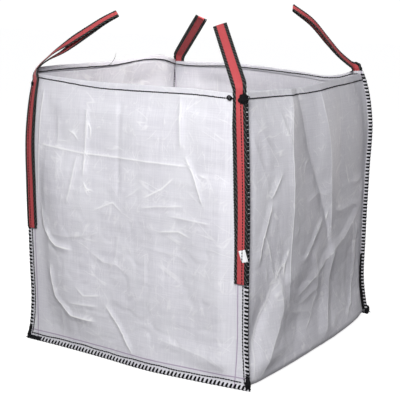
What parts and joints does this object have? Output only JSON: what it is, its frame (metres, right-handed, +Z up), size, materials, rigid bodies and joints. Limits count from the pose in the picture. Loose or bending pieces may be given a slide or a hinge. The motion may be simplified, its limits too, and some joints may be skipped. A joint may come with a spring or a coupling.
{
  "type": "bulk bag",
  "caption": "Open-top square bulk bag of woven plastic cloth with overcast side and bottom seams and hinged webbing lifting loops at its corners.",
  "frame": {"origin": "middle of the base's underside, where the bag stands", "axes": "+X towards the right side wall, -Y towards the front panel that carries the labelled strap, +Z up towards the open mouth"},
  "size_m": [0.8898, 0.9036, 1.1467],
  "materials": {
    "woven_cloth": "satin",
    "webbing": "matte",
    "overlock_thread": "matte",
    "chain_thread": "matte",
    "label_cloth": "satin"
  },
  "bodies": {
    "bag": {"u_panel": "woven_cloth", "front_panel": "woven_cloth", "back_panel": "woven_cloth", "overlock_front_bottom": "overlock_thread", "overlock_back_bottom": "overlock_thread", "overlock_front_right": "overlock_thread", "overlock_front_left": "overlock_thread", "overlock_back_right": "overlock_thread", "overlock_back_left": "overlock_thread", "safety_stitch_front_bottom": "chain_thread", "safety_stitch_back_bottom": "chain_thread", "safety_stitch_front_right": "chain_thread", "safety_stitch_front_left": "chain_thread", "safety_stitch_back_right": "chain_thread", "safety_stitch_back_left": "chain_thread", "hem_stitch_front": "chain_thread", "hem_stitch_back": "chain_thread", "hem_stitch_right": "chain_thread", "hem_stitch_left": "chain_thread", "strap_under_leg_front_right": "webbing", "strap_under_leg_front_left": "webbing", "strap_under_leg_back_right": "webbing", "strap_under_leg_back_left": "webbing", "strap_outer_leg_front_right": "webbing", "strap_outer_leg_front_left": "webbing", "strap_outer_leg_back_right": "webbing", "strap_outer_leg_back_left": "webbing", "rim_knot_front_right": "chain_thread", "rim_knot_front_left": "chain_thread", "rim_knot_back_right": "chain_thread", "rim_knot_back_left": "chain_thread", "thread_tail_front_right": "overlock_thread", "thread_tail_front_left": "overlock_thread", "thread_tail_back_right": "overlock_thread", "thread_tail_back_left": "overlock_thread", "label": "label_cloth"},
    "loop_front_right": {"lifting_loop_front_right": "webbing"},
    "loop_front_left": {"lifting_loop_front_left": "webbing"},
    "loop_back_right": {"lifting_loop_back_right": "webbing"},
    "loop_back_left": {"lifting_loop_back_left": "webbing"}
  },
  "joints": [
    {"name": "fold_front_right", "type": "hinge", "parent": "bag", "child": "loop_front_right", "pos_m": [0.3865, -0.4083, 0.92], "axis": [-0.7071, -0.7071, 0], "range_deg": [-145, 31]},
    {"name": "fold_front_left", "type": "hinge", "parent": "bag", "child": "loop_front_left", "pos_m": [-0.3865, -0.4083, 0.92], "axis": [-0.7071, 0.7071, 0], "range_deg": [-143, 33]},
    {"name": "fold_back_right", "type": "hinge", "parent": "bag", "child": "loop_back_right", "pos_m": [0.3865, 0.4083, 0.92], "axis": [0.7071, -0.7071, 0], "range_deg": [-136, 40]},
    {"name": "fold_back_left", "type": "hinge", "parent": "bag", "child": "loop_back_left", "pos_m": [-0.3865, 0.4083, 0.92], "axis": [0.5878, 0.809, 0], "range_deg": [-138, 38]}
  ]
}
